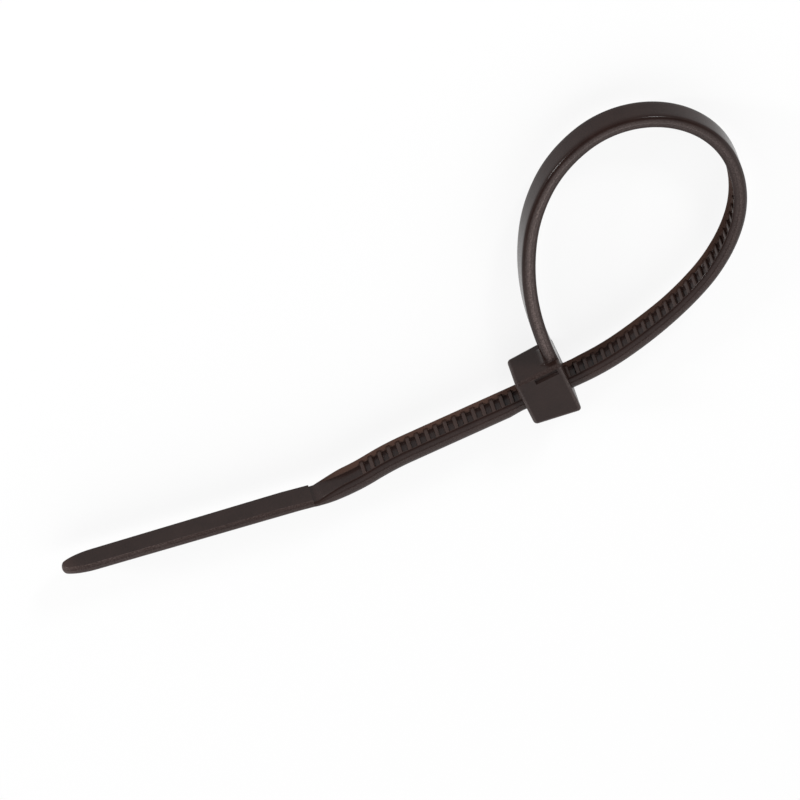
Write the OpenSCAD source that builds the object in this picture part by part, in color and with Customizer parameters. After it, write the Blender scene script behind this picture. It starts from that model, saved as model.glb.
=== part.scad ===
// Nylon cable tie, one moulding, closed into a loop with its tail pulled through the head.
// It lies on its side: the strap's width runs along Z. The origin is the middle of the
// head's slot, X runs along the slot against the pull, and the strap leaves the head along +Y.

/* [Strap] */
// Width of the strap
strap_w = 2.54; // [2.3:0.02:2.8]
// Thickness of the strap over its rails
strap_t = 1.15; // [1.05:0.01:1.25]
// Rounding of the strap's long edges
edge_r = 0.1; // [0.06:0.01:0.16]
// Width of each side rail
rail_w = 0.32; // [0.26:0.01:0.4]
// Depth of the channel between the rails
channel_d = 0.5; // [0.42:0.01:0.6]
// Plain length between the head and the start of the channel
plain_root = 13; // [8:0.5:20]
// Smooth channel floor between the last tooth and the end of the channel
smooth_floor = 1.7; // [1:0.1:6]

/* [Teeth] */
// Pitch of the teeth, on the strap's neutral line
tooth_pitch = 0.9; // [0.8:0.01:1.1]
// Height of a tooth over the channel's floor
tooth_h = 0.32; // [0.24:0.01:0.38]
// Flat crest of a tooth
tooth_crest = 0.1; // [0.06:0.01:0.14]
// Length of a tooth's ramp
tooth_ramp = 0.36; // [0.28:0.01:0.42]
// Lean of a tooth's steep face
tooth_lean = 0.04; // [0.02:0.01:0.08]

/* [Loop] */
// Turn of the first bend after the head, in degrees
rise_turn = 28; // [24:1:32]
// Inner radius of the first bend
rise_r = 25; // [22:0.5:28]
// Turn of the shoulder bend, in degrees
shoulder_turn = 18; // [14:1:22]
// Inner radius of the shoulder bend
shoulder_r = 16; // [14:0.5:18]
// Turn of the bend before the crown, in degrees
lead_turn = 28; // [24:1:32]
// Inner radius of the bend before the crown
lead_r = 11.5; // [10:0.1:13]
// Turn of the crown, in degrees
crown_turn = 106; // [102:1:110]
// Inner radius of the crown, the tightest bend
crown_r = 7.9; // [7:0.1:9]
// Turn of the bend after the crown, in degrees
fall_turn = 38; // [34:1:42]
// Inner radius of the bend after the crown
fall_r = 10.7; // [9.5:0.1:12]
// Turn of the lower bend, in degrees
lower_turn = 24; // [20:1:28]
// Inner radius of the lower bend
lower_r = 14.5; // [13:0.5:16]
// Turn of the long flat bend that nears the head, in degrees
run_turn = 16; // [13:1:18]
// Inner radius of the long flat bend
run_r = 34; // [30:1:38]
// Inner radius of the last bend, which lines the strap up with the slot
entry_r = 20; // [18:0.5:22]

/* [Tail] */
// Straight toothed length beyond the slot's middle
tail_straight = 13.3; // [11:0.1:16]
// Turn of the tail's dip, in degrees
dip_turn = 9; // [6:0.5:11]
// Radius of the tail's dip, on the smooth face
dip_r = 22.6; // [19:0.2:26]
// Turn of the tail's upward kick, in degrees
kick_turn = 18.8; // [15:0.1:22]
// Radius of the tail's kick, on the smooth face
kick_r = 18.2; // [15:0.2:22]
// Length of the plain tail, from its step to the tip
tail_l = 22.8; // [18:0.1:30]
// Thickness of the plain tail
tail_t = 0.66; // [0.55:0.01:0.75]
// Width of the plain tail where its nose begins
tail_w = 2.24; // [2:0.02:2.3]
// Length of the rounded nose
nose_l = 4.2; // [3:0.1:6]
// Rounding of the plain tail's edges
tail_edge_r = 0.1; // [0.06:0.01:0.16]
// Thickness left at the notch before the plain tail
notch_t = 0.48; // [0.4:0.01:0.54]
// Length of the notch
notch_l = 0.42; // [0.3:0.02:0.6]
// Length over which the rails run down to the notch
rail_fade = 3; // [2:0.1:4]

/* [Head] */
// Length of the head along the slot, on the exit side of its middle
head_exit = 2.22; // [2:0.02:2.4]
// Length of the head along the slot, on the entry side of its middle
head_entry = 2.2; // [2.05:0.05:2.5]
// Lean of the entry face towards the exit, at the head's back
entry_lean = 0.1; // [0:0.02:0.3]
// Height of the head's root face over the slot's middle, at the exit
root_h_exit = 2.82; // [2.7:0.02:3]
// Height of the head's root face over the slot's middle, at the entry
root_h_entry = 3.08; // [2.9:0.02:3.3]
// Depth of the head's back below the slot's middle, at the exit
back_exit = 2.08; // [1.8:0.02:2.4]
// Depth of the head's back below the slot's middle, at the entry
back_entry = 2.6; // [2.2:0.02:2.9]
// Width of the head at the exit
head_w_exit = 4.05; // [3.9:0.05:4.4]
// Width of the head at the entry
head_w_entry = 4.4; // [4.2:0.05:4.8]
// Rounding of the head's corners
head_r = 0.34; // [0.2:0.02:0.4]
// Depth of the groove along the root edge of each side face
lip_d = 0.13; // [0.08:0.01:0.18]
// Distance of that groove's far end from the entry face
lip_l = 2.7; // [2:0.1:3.2]
// Distance of its near end from the entry face
lip_in = 0.48; // [0.46:0.02:0.6]
// Width of that groove
lip_w = 0.5; // [0.36:0.02:0.6]
// Radius of the fillet where the strap leaves the head
root_fillet = 0.4; // [0.2:0.02:0.5]

/* [Slot and pawl] */
// Clearance of the slot over the strap's smooth face
slot_gap = 0.08; // [0.05:0.01:0.12]
// Clearance of the slot at each edge of the strap
side_gap = 0.1; // [0.06:0.01:0.14]
// Clearance over the rails
rail_gap = 0.08; // [0.06:0.01:0.12]
// Length of the solid sill over the slot's entry
sill_l = 0.85; // [0.7:0.05:1]
// Height of the pawl's chamber over the slot's middle
chamber_h = 2; // [1.9:0.02:2.1]
// Length of the pawl
pawl_l = 2.9; // [2.7:0.05:3.1]
// Thickness of the pawl at its hinge
hinge_t = 0.62; // [0.5:0.02:0.7]
// Thickness of the pawl at its free end
pawl_t = 0.86; // [0.7:0.02:1]
// Clearance of the pawl inside the channel, at each side
pawl_side_gap = 0.09; // [0.06:0.01:0.14]
// Teeth on the pawl
pawl_teeth = 3; // [2:1:3]
// Running clearance between the pawl's teeth and the strap's
mesh_gap = 0.06; // [0.05:0.01:0.07]

/* [Hidden] */

nylon = [0.25, 0.21, 0.2];
$fn = 180;
CORNER_STEPS = 4;
BALL_SIDES = 24;
NOSE_STEPS = 7;
FADE_STEPS = 8;
// Overlap with which added shapes are sunk into what carries them
SINK = 0.06;
// Overshoot of a cut past the surface that it opens
PAST = 0.5;

// The path is the line of the rails' tops, on the tooth side. A bend is [turn, radius] in
// degrees and millimetres, clockwise positive, and a straight is [0, length].
floor_t = strap_t - channel_d;
neutral_d = channel_d + floor_t / 2;
half_t = strap_t / 2;
entry_turn = 270 - rise_turn - shoulder_turn - lead_turn - crown_turn - fall_turn - lower_turn - run_turn;
loop_bends = [
    [rise_turn, rise_r],
    [shoulder_turn, shoulder_r],
    [lead_turn, lead_r],
    [crown_turn, crown_r],
    [fall_turn, fall_r],
    [lower_turn, lower_r],
    [run_turn, run_r],
    [entry_turn, entry_r]
];

function side_of(bend) = bend[0] < 0 ? -1 : 1;
function centre_of(at, bend) =
    [at[0] + side_of(bend) * bend[1] * sin(at[2]), at[1] - side_of(bend) * bend[1] * cos(at[2])];
function round_to(centre, bend, heading) =
    [centre[0] - side_of(bend) * bend[1] * sin(heading),
     centre[1] + side_of(bend) * bend[1] * cos(heading), heading];
function ahead(at, far) = [at[0] + far * cos(at[2]), at[1] + far * sin(at[2]), at[2]];
function end_of(at, run) =
    run[0] == 0 ? ahead(at, run[1]) : round_to(centre_of(at, run), run, at[2] - run[0]);
// Radius and length of a run on the strap's neutral line
function neutral_r(bend) = bend[1] + side_of(bend) * neutral_d;
function length_of(run) = run[0] == 0 ? run[1] : abs(run[0]) * PI / 180 * neutral_r(run);
function walk(at, runs) =
    [for (i = 0, p = at; i <= len(runs); p = i < len(runs) ? end_of(p, runs[i]) : p, i = i + 1) p];
function total(values, count) = count <= 0 ? 0 : values[count - 1] + total(values, count - 1);

// The loop closes on itself: the rise at the root takes up the height that the bends leave
root_start = [head_entry, chamber_h + SINK * 4, 90];
bends_end = walk([0, 0, 90], loop_bends)[len(loop_bends)];
rise_l = half_t - bends_end[1] - root_start[1];
slot_run = root_start[0] + bends_end[0] + tail_straight;
dip = [-dip_turn, dip_r + strap_t];
kick = [kick_turn, kick_r - strap_t];
runs = concat(
    [[0, rise_l]],
    loop_bends,
    [[0, slot_run], dip, kick, [0, tail_l]]
);
places = walk(root_start, runs);
lengths = [for (r = runs) length_of(r)];
marks = [for (i = [0 : len(runs)]) total(lengths, i)];

// Distances along the path
slot_mark = marks[len(loop_bends) + 1] + root_start[0] + bends_end[0];
step_mark = marks[len(runs) - 1];
channel_start = plain_root + root_h_entry - root_start[1];
channel_end = step_mark;
tooth_l = tooth_crest + tooth_ramp;
// The steep face of tooth 0 lies on the exit side of the slot's middle
tooth_zero = slot_mark + tooth_pitch * 0.3;
first_tooth = ceil((channel_start + tooth_pitch - tooth_zero) / tooth_pitch);
last_tooth = floor((channel_end - smooth_floor - rail_fade - tooth_l - tooth_zero) / tooth_pitch);

channel_w = strap_w - 2 * rail_w;
slot_floor = -half_t - slot_gap;
slot_w = strap_w + 2 * side_gap;
sill_h = half_t + rail_gap;
hinge_x = head_entry - sill_l;
pawl_w = channel_w - 2 * pawl_side_gap;

function run_at(mark, i = 0) = i >= len(runs) - 1 || mark < marks[i + 1] ? i : run_at(mark, i + 1);
function place_at(mark) =
    let (i = run_at(mark), run = runs[i], at = places[i], far = mark - marks[i])
    run[0] == 0
        ? ahead(at, far)
        : round_to(centre_of(at, run), run, at[2] - side_of(run) * far / neutral_r(run) * 180 / PI);

// Moves to a point in a coarse and a fine step, so that neighbouring bends meet without a gap
module move_to(p) {
    coarse = [for (i = [0, 1]) round(p[i] * 10) / 10];
    translate(coarse) translate([p[0] - coarse[0], p[1] - coarse[1]]) children();
}

module on_path(mark) {
    at = place_at(mark);
    move_to(at) rotate([0, 0, at[2]]) children();
}

// Sweeps a section between two marks: section x is depth from the rails' tops, y is Z
module sweep(from, to) {
    for (i = [0 : len(runs) - 1]) {
        a = max(from - marks[i], 0);
        b = min(to - marks[i], lengths[i]);
        if (b > a) sweep_run(runs[i], places[i], a, b) children();
    }
}

module sweep_run(run, at, a, b) {
    if (run[0] == 0) {
        move_to(ahead(at, a)) rotate([90, 0, at[2] + 90]) linear_extrude(b - a) children();
    } else {
        c = centre_of(at, run);
        per_mm = 180 / PI / neutral_r(run);
        start = run[0] > 0 ? at[2] + 90 - b * per_mm : at[2] - 90 + a * per_mm;
        move_to(c) rotate_extrude(angle = (b - a) * per_mm, start = start)
            translate([run[1], 0]) mirror([run[0] > 0 ? 0 : 1, 0]) children();
    }
}

function corner(x, y, r, from) =
    [for (i = [0 : CORNER_STEPS]) let (a = from + 90 * i / CORNER_STEPS) [x + r * cos(a), y + r * sin(a)]];

module strap_section() {
    y = strap_w / 2 - edge_r;
    x0 = edge_r;
    x1 = strap_t - edge_r;
    polygon(concat(
        corner(x1, y, edge_r, 0), corner(x0, y, edge_r, 90),
        corner(x0, -y, edge_r, 180), corner(x1, -y, edge_r, 270)
    ));
}

module channel_section() {
    translate([-PAST, -channel_w / 2]) square([channel_d + PAST, channel_w]);
}

// Local x runs towards the tip, local y into the strap from the rails' tops
module strap_tooth() {
    top = channel_d - tooth_h;
    linear_extrude(channel_w + SINK, center = true) polygon([
        [-tooth_lean, channel_d],
        [0, top],
        [tooth_crest, top],
        [tooth_l, channel_d],
        [tooth_l, channel_d + SINK],
        [-tooth_lean, channel_d + SINK]
    ]);
}

// Runs the rails down ever more steeply to the notch in front of the plain tail
module rail_fade_cut() {
    low = strap_t - notch_t;
    linear_extrude(strap_w + 2 * PAST, center = true) polygon(concat(
        [[-rail_fade - notch_l, -PAST]],
        [for (i = [0 : FADE_STEPS]) let (t = i / FADE_STEPS) [(t - 1) * rail_fade - notch_l, low * pow(t, 1.6)]],
        [[PAST, low], [PAST, -PAST]]
    ));
}

module strap() {
    difference() {
        sweep(0, step_mark) strap_section();
        sweep(channel_start, channel_end) channel_section();
        on_path(step_mark) rail_fade_cut();
    }
    for (i = [first_tooth : last_tooth]) on_path(tooth_zero + i * tooth_pitch) strap_tooth();
}

// Half width of the nose, an ellipse, at a distance along it
function nose_half(far) = (tail_w / 2 - tail_edge_r) * sqrt(1 - pow(far / nose_l, 2));
nose_start = tail_l - nose_l;
nose_round = nose_l - tail_edge_r;
tail_outline = concat(
    [[-SINK, strap_w / 2 - tail_edge_r]],
    [for (i = [0 : NOSE_STEPS]) let (x = nose_round * sin(90 * i / NOSE_STEPS)) [nose_start + x, nose_half(x)]]
);

module plain_tail() {
    on_path(step_mark) hull() {
        for (p = tail_outline, z = [-p[1], p[1]], y = [strap_t - tail_t + tail_edge_r, strap_t - tail_edge_r])
            translate([p[0], y, z]) sphere(tail_edge_r, $fn = BALL_SIDES / 2);
    }
}

// The block is wider at the entry than at the exit, as its draft in the mould leaves it
module head_block() {
    entry_z = head_w_entry / 2 - head_r;
    exit_z = head_w_exit / 2 - head_r;
    corners = [
        [head_entry - head_r, root_h_entry - head_r, entry_z],
        [head_entry - entry_lean - head_r, head_r - back_entry, entry_z],
        [head_r - head_exit, root_h_exit - head_r, exit_z],
        [head_r - head_exit, head_r - back_exit, exit_z]
    ];
    hull() {
        for (c = corners, side = [-1, 1])
            translate([c[0], c[1], side * c[2]]) sphere(head_r, $fn = BALL_SIDES);
    }
}

module slot_and_chamber() {
    out = head_entry + PAST;
    linear_extrude(slot_w, center = true) polygon([
        [out, slot_floor],
        [-out, slot_floor],
        [-out, chamber_h],
        [hinge_x, chamber_h],
        [hinge_x, sill_h],
        [out, sill_h]
    ]);
}

module pawl_tooth() {
    tip = half_t - channel_d + mesh_gap;
    foot = sill_h + SINK;
    linear_extrude(pawl_w, center = true) polygon([
        [mesh_gap, foot],
        [mesh_gap + tooth_lean, tip],
        [mesh_gap + tooth_lean + tooth_crest / 2, tip],
        [mesh_gap + tooth_l - tooth_crest, foot]
    ]);
}

module pawl() {
    free_x = hinge_x - pawl_l;
    linear_extrude(pawl_w, center = true) polygon([
        [hinge_x + SINK, sill_h],
        [hinge_x + SINK, sill_h + hinge_t],
        [hinge_x - hinge_t / 2, sill_h + hinge_t],
        [free_x, sill_h + pawl_t],
        [free_x, sill_h]
    ]);
    for (i = [0 : pawl_teeth - 1])
        translate([slot_mark - tooth_zero - (i - 1) * tooth_pitch, 0, 0]) pawl_tooth();
}

// Round-bottomed groove along the root edge of one side face
module lip_groove() {
    taper = atan((head_w_entry - head_w_exit) / 2 / (head_entry + head_exit));
    lean = atan((root_h_entry - root_h_exit) / (head_entry + head_exit));
    groove_r = (pow(lip_w / 2, 2) + pow(lip_d, 2)) / (2 * lip_d);
    translate([head_entry, root_h_entry - head_r - lip_w / 2, head_w_entry / 2])
        rotate([0, -taper, lean])
            translate([-lip_l, 0, groove_r - lip_d]) rotate([0, 90, 0]) cylinder(lip_l - lip_in, r = groove_r);
}

// Fillet in the corner between the head's root face and the strap's smooth face
module root_fillet() {
    slope = (root_h_entry - root_h_exit) / (head_entry + head_exit);
    x = head_entry - strap_t;
    y = root_h_entry - slope * strap_t;
    drop = slope * root_fillet;
    linear_extrude(strap_w - 2 * edge_r, center = true) polygon(concat(
        [[x + SINK, y - SINK], [x + SINK, y + root_fillet]],
        [for (i = [0 : CORNER_STEPS]) let (a = 90 * i / CORNER_STEPS)
            [x - root_fillet * (1 - cos(a)), y + root_fillet - (root_fillet + drop) * sin(a)]],
        [[x - root_fillet, y - drop - SINK]]
    ));
}

module head() {
    difference() {
        head_block();
        slot_and_chamber();
        lip_groove();
        mirror([0, 0, 1]) lip_groove();
    }
    pawl();
    root_fillet();
}

module cable_tie() {
    color(nylon) {
        head();
        strap();
        plain_tail();
    }
}

cable_tie();
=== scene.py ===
"""A slim nylon cable tie, closed into a loop with its tail pulled through its own head."""
import math

import bmesh
import bpy
from mathutils import Matrix, Vector


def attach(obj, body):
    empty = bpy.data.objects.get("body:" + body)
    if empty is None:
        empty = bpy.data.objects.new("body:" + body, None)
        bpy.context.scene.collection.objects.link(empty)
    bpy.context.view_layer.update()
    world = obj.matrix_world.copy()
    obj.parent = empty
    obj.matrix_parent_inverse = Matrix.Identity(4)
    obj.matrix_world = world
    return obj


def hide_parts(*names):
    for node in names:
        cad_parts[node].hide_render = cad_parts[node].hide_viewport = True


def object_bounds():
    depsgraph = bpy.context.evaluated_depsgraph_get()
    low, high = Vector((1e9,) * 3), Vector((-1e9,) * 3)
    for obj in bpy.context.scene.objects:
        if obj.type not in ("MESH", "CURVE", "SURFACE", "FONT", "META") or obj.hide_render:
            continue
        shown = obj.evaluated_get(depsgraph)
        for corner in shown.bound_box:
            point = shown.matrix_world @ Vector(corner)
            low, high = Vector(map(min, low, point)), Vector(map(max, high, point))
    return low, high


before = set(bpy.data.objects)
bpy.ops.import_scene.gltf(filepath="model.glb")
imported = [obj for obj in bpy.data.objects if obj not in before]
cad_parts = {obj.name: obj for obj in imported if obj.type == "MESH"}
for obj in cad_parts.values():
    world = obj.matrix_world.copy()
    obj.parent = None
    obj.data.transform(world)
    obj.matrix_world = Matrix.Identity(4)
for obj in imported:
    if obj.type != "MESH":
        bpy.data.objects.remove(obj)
cad_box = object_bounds()


# The line of the strap. The tie is moulded straight and then bent round its bundle, so every
# part of the strap is first made flat and then laid along this line, which runs from the
# head up round the loop, back through the slot in the head and out along the tail.
MM = 0.001
STRAP_W = 2.54
STRAP_T = 1.15
CHANNEL_D = 0.5
NEUTRAL_D = (STRAP_T + CHANNEL_D) / 2
LINE_START = (2.2, 2.24)
# Turn in degrees, clockwise positive, and radius on the rails' tops; a straight has no turn
LOOP_BENDS = [
    (28, 25), (18, 16), (28, 11.5), (106, 7.9), (38, 10.7), (24, 14.5), (16, 34), (12, 20),
]
TAIL_STRAIGHT = 13.3
TAIL_BENDS = [(-9, 22.6 + STRAP_T), (18.8, 18.2 - STRAP_T)]
TAIL_L = 22.8
LINE_STEP = 0.05


def bend_length(turn, size):
    """Length of a bend on the neutral line, or of a straight."""
    if turn == 0:
        return size
    return abs(math.radians(turn)) * (size + math.copysign(NEUTRAL_D, turn))


def walk_bend(at, turn, size, far):
    """Where a point lies on the rails' tops after so far along a bend's neutral line."""
    x, y, heading = at
    if turn == 0:
        return x + far * math.cos(heading), y + far * math.sin(heading), heading
    side = math.copysign(1, turn)
    cx = x + side * size * math.sin(heading)
    cy = y - side * size * math.cos(heading)
    new = heading - side * far / (size + side * NEUTRAL_D)
    return cx - side * size * math.sin(new), cy + side * size * math.cos(new), new


def loop_end():
    """Where the loop's last bend ends, with the rise at the root left out."""
    at = (0, 0, math.pi / 2)
    for turn, size in LOOP_BENDS:
        at = walk_bend(at, turn, size, bend_length(turn, size))
    return at


closing = loop_end()
RISE_L = STRAP_T / 2 - closing[1] - LINE_START[1]
SLOT_RUN = LINE_START[0] + closing[0] + TAIL_STRAIGHT
BENDS = [(0, RISE_L)] + LOOP_BENDS + [(0, SLOT_RUN)] + TAIL_BENDS + [(0, TAIL_L)]
BEND_MARKS = [0.0]
for bend in BENDS:
    BEND_MARKS.append(BEND_MARKS[-1] + bend_length(*bend))
# How far along the line the middle of the slot, the step to the plain tail and the tip are
SLOT_MARK = BEND_MARKS[len(LOOP_BENDS) + 1] + LINE_START[0] + closing[0]
STEP_MARK = BEND_MARKS[-2]
TIP_MARK = BEND_MARKS[-1]


def neutral_point(at):
    """The point of the neutral line that is level with a point on the rails' tops."""
    x, y, heading = at
    return x - NEUTRAL_D * math.sin(heading), y + NEUTRAL_D * math.cos(heading), 0


def neutral_points():
    """The strap's neutral line in millimetres, as closely spaced points."""
    points = []
    at = (*LINE_START, math.pi / 2)
    for turn, size in BENDS:
        length = bend_length(turn, size)
        steps = max(1, round(length / LINE_STEP))
        for i in range(steps):
            points.append(neutral_point(walk_bend(at, turn, size, length * i / steps)))
        at = walk_bend(at, turn, size, length)
    return points + [neutral_point(at)]


def add(name, data):
    """A new object in the scene."""
    made = bpy.data.objects.new(name, data)
    bpy.context.scene.collection.objects.link(made)
    return made


def wire(name, points):
    """A mesh of edges through points given in millimetres."""
    mesh = bpy.data.meshes.new(name)
    edges = [(i, i + 1) for i in range(len(points) - 1)]
    mesh.from_pydata([[c * MM for c in p] for p in points], edges, [])
    return add(name, mesh)


tie_line = wire("tie_line", neutral_points())


def node(tree, kind, links=(), **values):
    """A node with its properties set, and its inputs linked or given as {socket: value}."""
    made = tree.nodes.new(kind)
    for key, value in values.items():
        setattr(made, key, value)
    for socket, source in dict(links).items():
        if isinstance(source, bpy.types.NodeSocket):
            tree.links.new(source, made.inputs[socket])
        else:
            made.inputs[socket].default_value = source
    return made


def bend_group():
    """Lays a flat blank, with its length along X and its depth along Y, on a line."""
    tree = bpy.data.node_groups.new("lay along line", "GeometryNodeTree")
    for label, kind in (("Blank", "Geometry"), ("Line", "Object"), ("Neutral depth", "Float")):
        tree.interface.new_socket(label, in_out="INPUT", socket_type="NodeSocket" + kind)
    tree.interface.new_socket("Bent", in_out="OUTPUT", socket_type="NodeSocketGeometry")

    def vector(operation, links):
        return node(tree, "ShaderNodeVectorMath", links, operation=operation).outputs[0]

    given = node(tree, "NodeGroupInput").outputs
    line = node(tree, "GeometryNodeObjectInfo", {"Object": given["Line"]},
                transform_space="ORIGINAL")
    curve = node(tree, "GeometryNodeMeshToCurve", {"Mesh": line.outputs["Geometry"]})
    place = node(tree, "GeometryNodeInputPosition").outputs[0]
    here = node(tree, "ShaderNodeSeparateXYZ", {0: place})
    spot = node(tree, "GeometryNodeSampleCurve", {"Curves": curve.outputs[0]},
                mode="LENGTH", data_type="FLOAT")
    tree.links.new(here.outputs["X"], spot.inputs["Length"])
    side = vector("CROSS_PRODUCT", {0: (0, 0, 1), 1: spot.outputs["Tangent"]})
    depth = node(tree, "ShaderNodeMath", {0: here.outputs["Y"], 1: given["Neutral depth"]},
                 operation="SUBTRACT")
    deep = vector("SCALE", {0: side, "Scale": depth.outputs[0]})
    wide = node(tree, "ShaderNodeCombineXYZ", {"Z": here.outputs["Z"]})
    flat = vector("ADD", {0: spot.outputs["Position"], 1: deep})
    full = vector("ADD", {0: flat, 1: wide.outputs[0]})
    moved = node(tree, "GeometryNodeSetPosition", {"Geometry": given["Blank"], "Position": full})
    tree.links.new(moved.outputs[0], node(tree, "NodeGroupOutput").inputs[0])
    return tree


lay_along_line = bend_group()


# The nylon. Ties are moulded in dark brown-black nylon 6.6, which comes out of a polished
# mould with a soft satin shine and faint flow marks along the strap. Light let through where the
# wall is thin is painted into the colour as a warm glow, and a pale grainy frost also paints light.
NYLON_DARK = (0.0148, 0.0077, 0.0064, 1)
NYLON_LIGHT = (0.0214, 0.0112, 0.0094, 1)
# Light let through thin walls, painted into the colour as a warm glow
NYLON_PAINTED_GLOW = (0.122, 0.070, 0.055, 1)
# A pale grainy frost that also stands in for light on sides and edges
NYLON_FROST_AND_LIGHT = (0.120, 0.090, 0.084, 1)
FROST_ROUGH = 0.25


def nylon(name, roughness, grain, grain_size):
    """Dark moulded nylon with a finer or coarser grain. One attribute paints a warm glow for light
    let through thin walls; the other roughens it and mixes in a pale frost that also paints light.
    """
    made = bpy.data.materials.new(name)
    made.use_nodes = True
    tree = made.node_tree
    tree.nodes.clear()
    place = node(tree, "ShaderNodeTexCoord").outputs["Object"]

    def noise(scale, detail, rough):
        return node(tree, "ShaderNodeTexNoise", {
            "Vector": place, "Scale": scale, "Detail": detail, "Roughness": rough,
        }).outputs["Fac"]

    drift = noise(scale=420.0, detail=4.0, rough=0.6)
    speck = noise(scale=grain_size, detail=3.0, rough=0.65)

    def specks(start, end, low, high):
        return node(tree, "ShaderNodeMapRange", {
            "Value": speck, "From Min": start, "From Max": end, "To Min": low, "To Max": high,
        }).outputs[0]

    def blend(share, colour, other):
        return node(tree, "ShaderNodeMix", {"Factor": share, 6: colour, 7: other},
                    data_type="RGBA").outputs[2]

    tone = node(tree, "ShaderNodeValToRGB", {"Fac": drift})
    tone.color_ramp.elements[0].position = 0.3
    tone.color_ramp.elements[0].color = NYLON_DARK
    tone.color_ramp.elements[1].position = 0.72
    tone.color_ramp.elements[1].color = NYLON_LIGHT
    # A warm glow painted where light comes through thin walls
    thin = node(tree, "ShaderNodeAttribute", attribute_name="thin").outputs["Fac"]
    matt = node(tree, "ShaderNodeAttribute", attribute_name="matt").outputs["Fac"]
    flecks = specks(start=0.42, end=0.66, low=0.25, high=1.0)
    # The frost is grainy and pale; it also paints light on the sides and highlights on edges
    frost_and_light = node(tree, "ShaderNodeMath", {0: matt, 1: flecks}, operation="MULTIPLY").outputs[0]
    colour = blend(frost_and_light, blend(thin, tone.outputs["Color"], NYLON_PAINTED_GLOW), NYLON_FROST_AND_LIGHT)
    rough = specks(start=0.3, end=0.7, low=roughness - 0.05, high=roughness + 0.07)
    rougher = node(tree, "ShaderNodeMath", {0: matt, 1: FROST_ROUGH, 2: rough},
                   operation="MULTIPLY_ADD")
    bump = node(tree, "ShaderNodeBump", {"Height": speck, "Strength": grain, "Distance": 0.00004})
    shader = node(tree, "ShaderNodeBsdfPrincipled", {
        "Base Color": colour,
        "Roughness": rougher.outputs[0],
        "Normal": bump.outputs[0],
        "IOR": 1.45,
        "Specular IOR Level": 0.145,
    })
    tree.links.new(shader.outputs[0], node(tree, "ShaderNodeOutputMaterial").inputs[0])
    return made


strap_nylon = nylon("strap nylon", roughness=0.2, grain=0.15, grain_size=9000.0)


# The strap. One band from the root in the head to the tip: plain where it leaves the head,
# then a channel between two thin rails, then a plain tail with a rounded tip. The mould parts
# a little above mid thickness, with a fine edge there, and each half drafts away from it.
ROOT_FILLET = 0.55
# The head's top at its entry end, and where the strap leaves it
HEAD_TOP, ROOT_TOP = 3.08, 3.012
ROOT_FACE = ROOT_TOP - LINE_START[1]
CHANNEL_OVER_HEAD = 13
CHANNEL_START = CHANNEL_OVER_HEAD + HEAD_TOP - LINE_START[1]
CHANNEL_RISE = 0.25
RAIL_FADE = 3
NOTCH_L = 0.42
NOTCH_TOP, NOTCH_CURVE = STRAP_T - 0.48, 1.6
TAIL_TOP = STRAP_T - 0.66
TAIL_GAIN, TAIL_GAIN_L = 0.1, 2.6
TAIL_HALF = 1.12
NOSE_L, NOSE_CURVE = 3.0, 0.6
TIP_R = 0.33
# The moulding comes out this much fuller at its sides and its smooth face
SWELL = 0.04
# How far apart sections are drawn along bends and straights, and the closest they may be
BEND_STEP, STRAIGHT_STEP, LEAST_STEP = 0.28, 1.2, 0.0015
# The strap isn't quite even: the rails stand higher on the run to the head, the toothed tail is
# thicker, and the loop is drawn tight. Each has its size and the marks where it comes and goes.
RUN_RISE = 0.08
RUN_FROM, RUN_TO = (59, 63), (SLOT_MARK - 4, SLOT_MARK - 2.6)
BELLY = 0.16
BELLY_FROM, BELLY_TO = (SLOT_MARK + 2.4, SLOT_MARK + 4), (STEP_MARK - 2, STEP_MARK + 1)
DRAWN = 0.08
DRAWN_FACE = 0.6  # share of it at the smooth face
DRAWN_FROM, DRAWN_TO = (0.8, 5), (52, 58)
# The outer corner is all below this depth. It keeps this share of its rounding past the loop
CORNER_D = 0.8
TAIL_CORNER = 0.6
LOOP_CLOSE = (47, 58)
# One side of the strap, from the smooth face up to the rail's top: depth, and how far in
SIDE = [
    (1.15, 0.34), (1.138, 0.252), (1.104, 0.17), (1.05, 0.1), (0.98, 0.046), (0.898, 0.012),
    (0.81, 0.0), (0.7, 0.0), (0.6, 0.0), (0.485, 0.0), (0.47, 0.012), (0.455, 0.014),
    (0.3, 0.03), (0.21, 0.04), (0.13, 0.05), (0.08, 0.06), (0.04, 0.08), (0.012, 0.112),
    (0.0, 0.145),
]
# The rail's inner wall, down to the channel's floor: depth, how far in, and its share of the
# painted glow that stands in for light through the wall
INNER = [
    (0.0, 0.17, 0.5), (0.02, 0.185, 0.8), (0.06, 0.195, 1), (0.2, 0.215, 1),
    (0.35, 0.245, 0.85), (0.44, 0.28, 0.6), (0.48, 0.31, 0.3), (0.5, 0.36, 0),
]
# The rails let more light through in the tail, which is stretched a little, and so does the tip;
# that light is painted into the colour as a warm glow
RUN_GLOW, GLOW_FROM = 0.6, (64, 76)
TIP_GLOW, TIP_GLOW_L = 0.12, (0.1, 1.6)
# The sides' frosting at the root, which also paints light on them, and how much it drops between
# which marks
ROOT_FROST_AND_LIGHT = 1.5
FROST_AND_LIGHT_DROPS = [(0.32, 10, 15), (0.58, 16, 26), (0.36, 45, 58), (-0.1, TIP_MARK - 12, TIP_MARK - 8)]
# It ends at this depth, having faded over this height, and over so much more round the loop
FROST_AND_LIGHT_END, CORNER_FADE, LOOP_FADE = 1.02, 0.12, 0.4
# The fine edge at the mould's parting is left clear, so it stays darker, and the frosting and its
# painted light are weaker from there to the top
PARTING = (0.46, 0.475)
RAIL_FROST_AND_LIGHT, RAIL_FROST_AND_LIGHT_D = 0.5, (0.15, 0.28)
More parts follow.
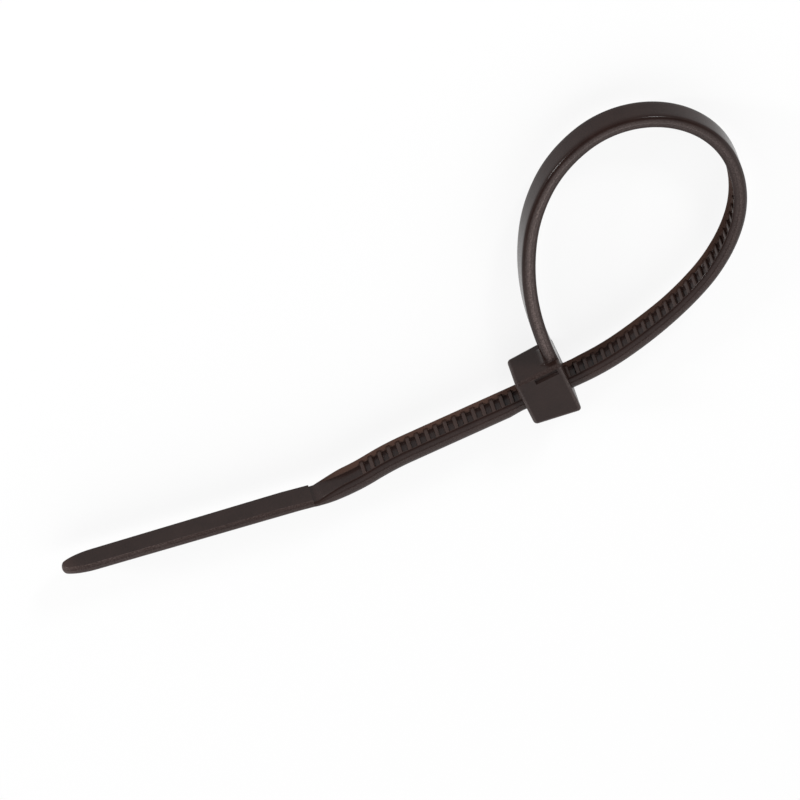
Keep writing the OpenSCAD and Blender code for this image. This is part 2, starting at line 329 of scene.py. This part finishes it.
# On the plain tail it goes down to the corner, and it is paler by this share at the upper edge, a
# painted highlight
TAIL_FROST_AND_LIGHT_D = (0.9, 1.1)
TAIL_PAINTED_HIGHLIGHT, TAIL_PAINTED_HIGHLIGHT_D = 0.9, (0.1, 0.3)


def eased(x, x0, x1):
    """0 before x0, 1 after x1, and smooth between."""
    t = min(1, max(0, (x - x0) / (x1 - x0)))
    return t * t * (3 - 2 * t)


def lasting(mark, come, go):
    """1 between two pairs of marks, easing from 0 over the first and back over the second."""
    return eased(mark, *come) * (1 - eased(mark, *go))


def top_at(mark):
    """Depth of the rails' tops, or of the plain tail's top, below the line."""
    if mark > STEP_MARK:
        return TAIL_TOP - TAIL_GAIN * eased(mark, STEP_MARK, STEP_MARK + TAIL_GAIN_L)
    if mark < SLOT_MARK:
        return -RUN_RISE * lasting(mark, RUN_FROM, RUN_TO)
    fade = (mark - (STEP_MARK - RAIL_FADE - NOTCH_L)) / RAIL_FADE
    return NOTCH_TOP * min(1, max(0, fade)) ** NOTCH_CURVE


def channel_at(mark):
    """Share of the channel's full depth."""
    if mark > STEP_MARK or mark < CHANNEL_START:
        return 0
    left = max(0, (CHANNEL_D - top_at(mark)) / CHANNEL_D)
    return min(eased(mark, CHANNEL_START, CHANNEL_START + CHANNEL_RISE), left)


def half_width_at(mark):
    """Half of the strap's width. It tapers to a rounded nose, which never closes to a point."""
    nose_start = TIP_MARK - NOSE_L
    taper = (mark - STEP_MARK) / (nose_start - STEP_MARK)
    half = STRAP_W / 2 - (STRAP_W / 2 - TAIL_HALF) * min(1, max(0, taper))
    nose = min(1, max(0, (mark - nose_start) / NOSE_L))
    return half * max(4e-4, 1 - nose * nose) ** NOSE_CURVE


def bottom_at(mark):
    """Depth of the smooth face, with the fillet at the root."""
    over_root = mark - ROOT_FACE
    if over_root < ROOT_FILLET:
        reach = ROOT_FILLET - max(0, over_root)
        return STRAP_T + ROOT_FILLET - math.sqrt(ROOT_FILLET ** 2 - reach ** 2)
    return STRAP_T + BELLY * lasting(mark, BELLY_FROM, BELLY_TO)


def frost_and_light_at(mark, depth):
    """How frosted the side is, and how much light is painted on it: most where it leaves the head,
    and less by the rails.
    """
    share = ROOT_FROST_AND_LIGHT - sum(drop * eased(mark, start, end) for drop, start, end in FROST_AND_LIGHT_DROPS)
    if mark > STEP_MARK:
        # The plain tail is palest along its upper edge, where a highlight is painted
        painted_highlight = 1 + TAIL_PAINTED_HIGHLIGHT * (1 - eased(depth, *TAIL_PAINTED_HIGHLIGHT_D))
        return share * (1 - eased(depth, *TAIL_FROST_AND_LIGHT_D)) * painted_highlight
    if depth > PARTING[1]:
        # Below the mould's parting line it fades out over the polished outer corner
        fade = CORNER_FADE + LOOP_FADE * (1 - eased(mark, *LOOP_CLOSE))
        return share * (1 - eased(depth, FROST_AND_LIGHT_END - fade, FROST_AND_LIGHT_END))
    if depth < PARTING[0]:
        return share * RAIL_FROST_AND_LIGHT * eased(depth, *RAIL_FROST_AND_LIGHT_D)
    return 0


def half_section(mark):
    """Points from the middle of the smooth face round to the channel's middle.

    Each is (depth, width, painted glow for light through the wall, frost with painted light).
    """
    half = half_width_at(mark) + SWELL
    top, bottom = top_at(mark), bottom_at(mark) + SWELL
    share = channel_at(mark)
    to_tip = TIP_MARK - mark
    if to_tip < TIP_R:
        # The tip is rounded in thickness too
        flat = math.sqrt(max(0.02, 1 - (1 - to_tip / TIP_R) ** 2))
        middle = (top + bottom) / 2
        top, bottom = middle - (middle - top) * flat, middle + (bottom - middle) * flat
    drawn = DRAWN * lasting(mark, DRAWN_FROM, DRAWN_TO)
    top, bottom = top - drawn, bottom - DRAWN_FACE * drawn
    scale = (bottom - top) / STRAP_T
    corner = 1 - (1 - TAIL_CORNER) * eased(mark, *LOOP_CLOSE)
    narrow = min(1, half / (STRAP_W / 2))
    # Painted glow: light let through at the tip and through the rails, put into the colour
    glow = TIP_GLOW * (1 - eased(to_tip, *TIP_GLOW_L))
    rail_glow = share * (RUN_GLOW + (1 - RUN_GLOW) * eased(mark, *GLOW_FROM))
    floor = top + CHANNEL_D * share
    points = [(bottom, 0, glow, 0), (bottom, half * 0.5, glow, 0)]
    for depth, inset in SIDE:
        inset *= narrow * (corner if depth > CORNER_D else 1)
        points.append((top + depth * scale, half - inset, glow, frost_and_light_at(mark, depth)))
    for depth, inset, thin in INNER:
        wall_glow = max(glow, thin * rail_glow)
        points.append((top + depth * share, half - inset * narrow, wall_glow, 0))
    return points + [(floor, half * 0.4, glow, 0), (floor, 0, glow, 0)]


def stations():
    """Marks along the strap at which its section is drawn, closest where its shape changes."""
    def crowded(length, steps):
        """Marks that crowd together towards the tip."""
        angles = [math.radians(90 * i / steps) for i in range(steps)]
        return [TIP_MARK - length * (1 - math.sin(angle)) for angle in angles]

    marks = [STEP_MARK - 0.001, STEP_MARK + 0.001]
    marks += [STEP_MARK - NOTCH_L - RAIL_FADE * i / 12 for i in range(13)]
    marks += [CHANNEL_START + CHANNEL_RISE * i / 5 for i in range(6)]
    marks += [ROOT_FACE + ROOT_FILLET * (1 - math.cos(math.radians(15 * i))) for i in range(7)]
    marks += crowded(NOSE_L, 24) + crowded(TIP_R, 9) + [TIP_MARK]
    for start, end, (turn, _) in zip(BEND_MARKS, BEND_MARKS[1:], BENDS):
        steps = max(2, math.ceil((end - start) / (BEND_STEP if turn else STRAIGHT_STEP)))
        marks += [start + (end - start) * i / steps for i in range(steps)]
    marks.sort()
    kept = [marks[0]]
    for mark in marks[1:]:
        if mark - kept[-1] > LEAST_STEP:
            kept.append(mark)
    return kept


def strap_blank():
    """The whole strap laid flat, as one closed mesh in metres."""
    rings = []
    for mark in stations():
        near = half_section(mark)
        far = [(depth, -width, thin, matt) for depth, width, thin, matt in near[-2:0:-1]]
        rings.append([(mark, *p) for p in near + far])
    count = len(rings[0])
    verts = [p for ring in rings for p in ring]
    faces = []
    for r in range(len(rings) - 1):
        for i in range(count):
            a, b = r * count + i, r * count + (i + 1) % count
            faces.append((a, b, b + count, a + count))
    faces += [tuple(range(count))[::-1], tuple(range(len(verts) - count, len(verts)))]
    mesh = bpy.data.meshes.new("tie_strap")
    mesh.from_pydata([[c * MM for c in p[:3]] for p in verts], [], faces)
    # The painted glow and the frost with its painted light, stored on the points
    for name, place in (("thin", 3), ("matt", 4)):
        stored = mesh.attributes.new(name, "FLOAT", "POINT")
        stored.data.foreach_set("value", [p[place] for p in verts])
    return add("tie_strap", mesh)


def new_tree(name, inputs):
    """A geometry tree with a Geometry input, the given inputs, and a Geometry output."""
    tree = bpy.data.node_groups.new(name, "GeometryNodeTree")
    tree.is_modifier = True
    tree.interface.new_socket("Geometry", in_out="INPUT", socket_type="NodeSocketGeometry")
    for label, kind in inputs:
        tree.interface.new_socket(label, in_out="INPUT", socket_type=kind)
    tree.interface.new_socket("Geometry", in_out="OUTPUT", socket_type="NodeSocketGeometry")
    return tree


def grow(base, tree, values):
    """Runs a tree on an object and leaves its result as that object's plain mesh."""
    modifier = base.modifiers.new("grow", "NODES")
    modifier.node_group = tree
    for item in tree.interface.items_tree:
        if item.item_type == "SOCKET" and item.in_out == "INPUT" and item.name in values:
            modifier[item.identifier] = values[item.name]
    seen = base.evaluated_get(bpy.context.evaluated_depsgraph_get())
    result = bpy.data.meshes.new_from_object(seen)
    base.modifiers.clear()
    base.data = result
    result.name = base.name
    return base


def outward(piece):
    """Turns a closed piece's faces outwards."""
    work = bmesh.new()
    work.from_mesh(piece.data)
    bmesh.ops.recalc_face_normals(work, faces=work.faces)
    work.to_mesh(piece.data)
    work.free()


def smooth(piece, degrees):
    """Smooth shading, with edges over this angle left sharp."""
    piece.data.shade_smooth()
    piece.data.set_sharp_from_angle(angle=math.radians(degrees))


def strap_tree():
    """Lays the flat strap on the line."""
    tree = new_tree("bent strap", [
        ("Line", "NodeSocketObject"), ("Neutral depth", "NodeSocketFloat"),
        ("Nylon", "NodeSocketMaterial"),
    ])
    given = node(tree, "NodeGroupInput").outputs
    laid = node(tree, "GeometryNodeGroup", node_tree=lay_along_line)
    tree.links.new(given["Geometry"], laid.inputs["Blank"])
    for socket in ("Line", "Neutral depth"):
        tree.links.new(given[socket], laid.inputs[socket])
    real = node(tree, "GeometryNodeRealizeInstances", {0: laid.outputs[0]})
    dressed = node(tree, "GeometryNodeSetMaterial", {
        "Geometry": real.outputs[0], "Material": given["Nylon"],
    })
    tree.links.new(dressed.outputs[0], node(tree, "NodeGroupOutput").inputs[0])
    return tree


strap = grow(strap_blank(), strap_tree(), {
    "Line": tie_line,
    "Neutral depth": NEUTRAL_D * MM,
    "Nylon": strap_nylon,
})
outward(strap)
smooth(strap, 38)
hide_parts("cable_tie")
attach(strap, "root")


# The teeth. A row of low ratchet teeth stands on the channel's floor, steep towards the head
# and eased towards the tip, each with a broad flat crest, and runs into the rail at each side.
TOOTH_PITCH = 0.9
TOOTH_H = 0.27
TOOTH_CREST = 0.34
TOOTH_RAMP = 0.12
TOOTH_LEAN = 0.04
TOOTH_SINK = 0.06
TOOTH_END = 0.1
TOOTH_R = 0.07
# A warm glow painted on the teeth, standing in for light through them
TOOTH_GLOW = 0.13
SMOOTH_FLOOR = 1.7
# One tooth's mark, at this share of a pitch past the slot's middle, and the row's ends from there
TOOTH_PHASE = 0.3
TOOTH_ZERO = SLOT_MARK + TOOTH_PITCH * TOOTH_PHASE
ROW_END = STEP_MARK - SMOOTH_FLOOR - RAIL_FADE - TOOTH_CREST - TOOTH_RAMP
FIRST_TOOTH = math.ceil((CHANNEL_START + TOOTH_PITCH - TOOTH_ZERO) / TOOTH_PITCH)
LAST_TOOTH = math.floor((ROW_END - TOOTH_ZERO) / TOOTH_PITCH)


def teeth_tree():
    """One tooth's profile, extruded across the channel, repeated and laid on the line."""
    sizes = ("First", "Pitch", "Height", "Crest", "Ramp", "Lean", "Sink", "Width", "Rounding",
             "Channel depth", "Neutral depth", "Warmth")
    inputs = [("Count", "NodeSocketInt")] + [(label, "NodeSocketFloat") for label in sizes]
    inputs += [("Line", "NodeSocketObject"), ("Nylon", "NodeSocketMaterial")]
    tree = new_tree("strap teeth", inputs)
    got = node(tree, "NodeGroupInput").outputs

    def sums(a, b, operation="ADD"):
        return node(tree, "ShaderNodeMath", {0: a, 1: b}, operation=operation).outputs[0]

    def vector(**parts):
        return node(tree, "ShaderNodeCombineXYZ", parts).outputs[0]

    top = sums(got["Channel depth"], got["Height"], "SUBTRACT")
    foot = sums(got["Channel depth"], got["Sink"])
    back = sums(0.0, got["Lean"], "SUBTRACT")
    far = sums(got["Crest"], got["Ramp"])
    corners = [(back, foot), (0.0, top), (got["Crest"], top), (far, foot)]
    profile = node(tree, "GeometryNodeCurvePrimitiveQuadrilateral", {
        f"Point {i}": vector(X=x, Y=y) for i, (x, y) in enumerate(corners, 1)
    }, mode="POINTS")
    rounded = node(tree, "GeometryNodeFilletCurve", {
        "Curve": profile.outputs[0], "Radius": got["Rounding"], "Limit Radius": True, "Count": 3,
    }, mode="POLY")
    filled = node(tree, "GeometryNodeFillCurve", {"Curve": rounded.outputs[0]}, mode="NGONS")
    start = vector(Z=sums(got["Width"], -0.5, "MULTIPLY"))
    low = node(tree, "GeometryNodeTransform", {"Geometry": filled.outputs[0], "Translation": start})
    raised = node(tree, "GeometryNodeExtrudeMesh", {
        "Mesh": low.outputs[0], "Offset": vector(Z=1.0), "Offset Scale": got["Width"],
        "Individual": False,
    })
    under = node(tree, "GeometryNodeFlipFaces", {"Mesh": low.outputs[0]})
    joined = node(tree, "GeometryNodeJoinGeometry")
    tree.links.new(raised.outputs["Mesh"], joined.inputs[0])
    tree.links.new(under.outputs[0], joined.inputs[0])
    whole = node(tree, "GeometryNodeMergeByDistance", {
        "Geometry": joined.outputs[0], "Distance": 1e-7,
    })
    row = node(tree, "GeometryNodeMeshLine", {
        "Count": got["Count"], "Start Location": vector(X=got["First"]),
        "Offset": vector(X=got["Pitch"]),
    })
    placed = node(tree, "GeometryNodeInstanceOnPoints", {
        "Points": row.outputs[0], "Instance": whole.outputs[0],
    })
    real = node(tree, "GeometryNodeRealizeInstances", {0: placed.outputs[0]})
    laid = node(tree, "GeometryNodeGroup", node_tree=lay_along_line)
    tree.links.new(real.outputs[0], laid.inputs["Blank"])
    for socket in ("Line", "Neutral depth"):
        tree.links.new(got[socket], laid.inputs[socket])
    # Stores the teeth's painted glow, which stands in for light through them
    glow_painted = node(tree, "GeometryNodeStoreNamedAttribute", {
        "Geometry": laid.outputs[0], "Name": "thin", "Value": got["Warmth"],
    })
    dressed = node(tree, "GeometryNodeSetMaterial", {
        "Geometry": glow_painted.outputs[0], "Material": got["Nylon"],
    })
    tree.links.new(dressed.outputs[0], node(tree, "NodeGroupOutput").inputs[0])
    return tree


teeth = grow(wire("tie_teeth", [(0, 0, 0), (1, 0, 0)]), teeth_tree(), {
    "Count": LAST_TOOTH - FIRST_TOOTH + 1,
    "First": (TOOTH_ZERO + FIRST_TOOTH * TOOTH_PITCH) * MM,
    "Pitch": TOOTH_PITCH * MM,
    "Height": TOOTH_H * MM,
    "Crest": TOOTH_CREST * MM,
    "Ramp": TOOTH_RAMP * MM,
    "Lean": TOOTH_LEAN * MM,
    "Sink": TOOTH_SINK * MM,
    "Width": (STRAP_W - 2 * TOOTH_END) * MM,
    "Rounding": TOOTH_R * MM,
    "Channel depth": CHANNEL_D * MM,
    "Neutral depth": NEUTRAL_D * MM,
    "Warmth": TOOTH_GLOW,
    "Line": tie_line,
    "Nylon": strap_nylon,
})
outward(teeth)
smooth(teeth, 38)
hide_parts("cable_tie")
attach(teeth, "root")
bpy.data.objects.remove(tie_line)


# The head. A block with drafted sides and rounded edges, wider towards the loop, with the slot
# through it, the pawl's chamber over the slot, and a shallow round groove in each side face
# along the root edge.
HEAD_EXIT, HEAD_ENTRY = -2.22, 2.2
# Heights of the top and the bottom, and half the width, at each end
EXIT_END = (2.82, -2.08, 2.025)
ENTRY_END = (HEAD_TOP, -2.6, 2.2)
ENTRY_LEAN = 0.1
HEAD_R = 0.34
# How much the top and the sides rise for each millimetre towards the entry
TOP_SLOPE = 0.0588
SIDE_DRAFT = 0.0396
SLOT_SIDE_GAP, SLOT_GAP = 0.1, 0.08
SLOT_HALF_W = STRAP_W / 2 + SLOT_SIDE_GAP
SLOT_FLOOR = -STRAP_T / 2 - SLOT_GAP
SILL_H = STRAP_T / 2 + SLOT_GAP
HINGE_X = HEAD_ENTRY - 0.85
CHAMBER_H = 2.0
PAST_HEAD = 3
# The groove's width and depth, and how far in from the entry it starts and ends
GROOVE_W, GROOVE_D, GROOVE_IN, GROOVE_END = 0.56, 0.22, 0.48, 2.7
GROOVE_R = (GROOVE_W ** 2 / 4 + GROOVE_D ** 2) / (2 * GROOVE_D)
# The part of the head that holds the grooves' walls: along, up and out
GROOVE_X, GROOVE_Y, GROOVE_Z = (-0.6, 1.8), (2.0, 2.72), 1.6

head_nylon = nylon("head nylon", roughness=0.34, grain=0.3, grain_size=7000.0)


def mesh_object(name, work):
    """A new object from a bmesh."""
    mesh = bpy.data.meshes.new(name)
    work.to_mesh(mesh)
    work.free()
    return add(name, mesh)


def join_loops(work, low, high):
    """Closes a bmesh between two loops of as many points, with a face over each end."""
    work.faces.new(low[::-1])
    work.faces.new(high)
    for i in range(len(low)):
        j = (i + 1) % len(low)
        work.faces.new((low[i], low[j], high[j], high[i]))
    bmesh.ops.recalc_face_normals(work, faces=work.faces)


def prism(outline, z0, z1):
    """A bmesh prism over an outline in X and Y."""
    work = bmesh.new()
    low, high = ([work.verts.new((x, y, z)) for x, y in outline] for z in (z0, z1))
    join_loops(work, low, high)
    return work


def head_block():
    """The drafted block with its edges rounded."""
    work = bmesh.new()

    def end(x, back, top, low, half):
        corners = ((x, top, half), (x, top, -half), (back, low, -half), (back, low, half))
        return [work.verts.new(p) for p in corners]

    exit_end = end(HEAD_EXIT, HEAD_EXIT, *EXIT_END)
    join_loops(work, exit_end, end(HEAD_ENTRY, HEAD_ENTRY - ENTRY_LEAN, *ENTRY_END))
    bmesh.ops.bevel(work, geom=work.edges[:], offset=HEAD_R, segments=5, profile=0.5,
                    affect="EDGES", clamp_overlap=True)
    return mesh_object("tie_head", work)


def carve(piece, cutter):
    """Cuts one closed object out of another."""
    cut = piece.modifiers.new("cut", "BOOLEAN")
    cut.operation = "DIFFERENCE"
    cut.solver = "EXACT"
    cut.object = cutter
    seen = piece.evaluated_get(bpy.context.evaluated_depsgraph_get())
    result = bpy.data.meshes.new_from_object(seen)
    piece.modifiers.clear()
    piece.data = result
    bpy.data.objects.remove(cutter)


def groove_bar(face):
    """A groove's cutter: a long round bar that follows the side's draft and the top's slope."""
    bar = bmesh.new()
    bmesh.ops.create_cone(bar, cap_ends=True, segments=48, radius1=GROOVE_R, radius2=GROOVE_R,
                          depth=GROOVE_END - GROOVE_IN)
    place = Matrix.Translation((-(GROOVE_END + GROOVE_IN) / 2, 0, GROOVE_R - GROOVE_D))
    bar.transform(place @ Matrix.Rotation(math.pi / 2, 4, "Y"))
    top, _, half = ENTRY_END
    for v in bar.verts:
        v.co.y += top - HEAD_R - GROOVE_W / 2 + v.co.x * TOP_SLOPE
        v.co.z = face * (v.co.z + half + v.co.x * SIDE_DRAFT)
        v.co.x += HEAD_ENTRY
    bmesh.ops.recalc_face_normals(bar, faces=bar.faces)
    return mesh_object("groove", bar)


head = head_block()
carve(head, mesh_object("slot", prism([
    (PAST_HEAD, SLOT_FLOOR), (-PAST_HEAD, SLOT_FLOOR), (-PAST_HEAD, CHAMBER_H),
    (HINGE_X, CHAMBER_H), (HINGE_X, SILL_H), (PAST_HEAD, SILL_H),
], -SLOT_HALF_W, SLOT_HALF_W)))
for face in (1, -1):
    carve(head, groove_bar(face))


def break_edges(piece, width, degrees):
    """Rounds the sharp edges that the cuts left."""
    work = bmesh.new()
    work.from_mesh(piece.data)
    bmesh.ops.remove_doubles(work, verts=work.verts, dist=1e-5)
    limit = math.radians(degrees)
    sharp = [e for e in work.edges if len(e.link_faces) == 2 and e.calc_face_angle() > limit]
    bmesh.ops.bevel(work, geom=sharp, offset=width, segments=2, profile=0.5,
                    affect="EDGES", clamp_overlap=True)
    work.to_mesh(piece.data)
    work.free()


def in_groove(spot):
    """Whether a point of the head lies in one of its grooves, which follow the top's slope."""
    along = GROOVE_X[0] < spot.x < GROOVE_X[1]
    up = GROOVE_Y[0] < spot.y < GROOVE_Y[1] + (spot.x - HEAD_ENTRY) * TOP_SLOPE
    return along and up and abs(spot.z) > GROOVE_Z


def frost_and_highlight_edges(piece, amount, broad):
    """Frosts the rounded edges, which also paints highlights on them, and leaves the broad faces
    and the grooves clear.
    """
    mesh = piece.data
    frost_and_light = [amount] * len(mesh.vertices)
    for face in mesh.polygons:
        if face.area > broad or in_groove(face.center):
            for v in face.vertices:
                frost_and_light[v] = 0
    mesh.attributes.new("matt", "FLOAT", "POINT").data.foreach_set("value", frost_and_light)


def finish_block(piece, material, degrees):
    """Takes a piece from millimetres to metres and gives it its shading and material."""
    piece.data.transform(Matrix.Scale(MM, 4))
    piece.data.materials.clear()
    piece.data.materials.append(material)
    smooth(piece, degrees)
    weighted = piece.modifiers.new("weighted", "WEIGHTED_NORMAL")
    weighted.keep_sharp = True
    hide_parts("cable_tie")
    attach(piece, "root")


break_edges(head, width=0.04, degrees=50)
# The frost on the head's edges paints highlights along them
frost_and_highlight_edges(head, amount=0.3, broad=0.6)
finish_block(head, head_nylon, degrees=40)


# The pawl. A tongue hinged at the entry end of the chamber, with three teeth that stand in the
# gaps between the strap's teeth and let it through one way only.
RAIL_W, RAIL_GAP = 0.32, 0.09
PAWL_L = 2.9
PAWL_HALF_W = STRAP_W / 2 - RAIL_W - RAIL_GAP
# Its thickness at the hinge and at its free end, the hinge's length, and how far that is let in
HINGE_T, FREE_T = 0.62, 0.86
HINGE_L, HINGE_IN = 0.31, 0.06
PAWL_TIP, PAWL_FOOT = 0.05, 0.36
MESH_GAP = 0.06
TOOTH_TIP = STRAP_T / 2 - CHANNEL_D + MESH_GAP


def pawl_outline():
    """The pawl's side view, with its teeth along the lower edge."""
    free_x = HINGE_X - PAWL_L
    outline = [
        (HINGE_X + HINGE_IN, SILL_H + HINGE_T), (HINGE_X - HINGE_L, SILL_H + HINGE_T),
        (free_x, SILL_H + FREE_T), (free_x, SILL_H),
    ]
    for i in (2, 1, 0):
        x = SLOT_MARK - TOOTH_ZERO - (i - 1) * TOOTH_PITCH + MESH_GAP
        tip = x + TOOTH_LEAN
        outline += [(x, SILL_H), (tip, TOOTH_TIP)]
        outline += [(tip + PAWL_TIP, TOOTH_TIP), (x + PAWL_FOOT, SILL_H)]
    return outline + [(HINGE_X + HINGE_IN, SILL_H)]


pawl = mesh_object("tie_pawl", prism(pawl_outline(), -PAWL_HALF_W, PAWL_HALF_W))
break_edges(pawl, width=0.025, degrees=30)
finish_block(pawl, head_nylon, degrees=40)


# The studio: a white floor under the tie, a soft room that is dim overhead and brighter in
# front and round the horizon, two softboxes, and the camera high over it all.
FLOOR_Z = cad_box[0].z
FLOOR_HALF = 1.5
FLOOR_GLOW = 0.85
SOFTBOX_AWAY = 0.5


def pale_floor():
    """A plain floor that keeps a soft shadow, and shows white to the eye and in reflections."""
    work = bmesh.new()
    bmesh.ops.create_grid(work, x_segments=1, y_segments=1, size=FLOOR_HALF)
    floor = mesh_object("floor", work)
    floor.data.transform(Matrix.Translation((0, 0, FLOOR_Z)))
    paint = bpy.data.materials.new("pale floor")
    paint.use_nodes = True
    tree = paint.node_tree
    tree.nodes.clear()

    def maths(operation, a, b):
        return node(tree, "ShaderNodeMath", {0: a, 1: b}, operation=operation).outputs[0]

    matt = node(tree, "ShaderNodeBsdfDiffuse", {"Color": (0.8, 0.8, 0.8, 1)})
    glow = node(tree, "ShaderNodeEmission", {"Color": (1, 1, 1, 1), "Strength": 1.0})
    rays = node(tree, "ShaderNodeLightPath").outputs
    mirrored = maths("MAXIMUM", rays["Is Glossy Ray"], rays["Is Transmission Ray"])
    seen = maths("MAXIMUM", rays["Is Camera Ray"], mirrored)
    share = maths("MULTIPLY", seen, FLOOR_GLOW)
    mixed = node(tree, "ShaderNodeMixShader", {0: share, 1: matt.outputs[0], 2: glow.outputs[0]})
    tree.links.new(mixed.outputs[0], node(tree, "ShaderNodeOutputMaterial").inputs[0])
    floor.data.materials.append(paint)


def soft_room():
    """World light by direction: dim overhead, white round the horizon, brighter in front."""
    room = bpy.data.worlds.new("soft room")
    room.use_nodes = True
    tree = room.node_tree
    place = node(tree, "ShaderNodeTexCoord").outputs["Generated"]
    way = node(tree, "ShaderNodeSeparateXYZ", {0: place})

    def ease(value, start, end, low, high):
        made = node(tree, "ShaderNodeMapRange", {
            "Value": value, "From Min": start, "From Max": end, "To Min": low, "To Max": high,
        }, interpolation_type="SMOOTHSTEP")
        return made.outputs[0]

    round_horizon = ease(way.outputs["Z"], start=0.3, end=0.66, low=0.95, high=0.18)
    in_front = ease(way.outputs["Y"], start=-0.55, end=-0.1, low=1.9, high=0.0)
    level = node(tree, "ShaderNodeMath", {0: round_horizon, 1: in_front}, operation="ADD")
    tree.links.new(level.outputs[0], tree.nodes["Background"].inputs["Strength"])
    tree.nodes["Background"].inputs["Color"].default_value = (1, 1, 1, 1)
    bpy.context.scene.world = room


def softbox(name, towards, size, power):
    """A square softbox that faces the tie."""
    lamp = bpy.data.lights.new(name, "AREA")
    lamp.size = size
    lamp.energy = power
    made = add(name, lamp)
    way = Vector(towards).normalized()
    made.location = way * SOFTBOX_AWAY
    made.rotation_mode = "QUATERNION"
    made.rotation_quaternion = (-way).to_track_quat("-Z", "Y")


pale_floor()
soft_room()
softbox("softbox left", (-0.74, 0.6, 0.33), size=0.08, power=1.1)
softbox("softbox back", (0.6, 0.67, 0.42), size=0.08, power=0.95)
bpy.context.scene.view_settings.view_transform = "Standard"

# A very long lens from far off, so that the view has next to no perspective
VIEW_WIDTH = 0.07014
VIEW_MIDDLE = Vector((-0.0121, 0.00372, -0.00181))
camera = add("camera", bpy.data.cameras.new("camera"))
camera.data.lens = 1650
camera.data.sensor_width = 36
right = Vector((0.9097, -0.3667, 0.1948)).normalized()
back = Vector((0.0676, 0.5937, 0.8019))
back = (back - back.dot(right) * right).normalized()
up = back.cross(right)
distance = VIEW_WIDTH * camera.data.lens / camera.data.sensor_width
placed = Matrix((right, up, back)).transposed().to_4x4()
placed.translation = VIEW_MIDDLE + back * distance
camera.matrix_world = placed
camera.data.clip_start = 0.1
camera.data.clip_end = distance * 3
bpy.context.scene.camera = camera
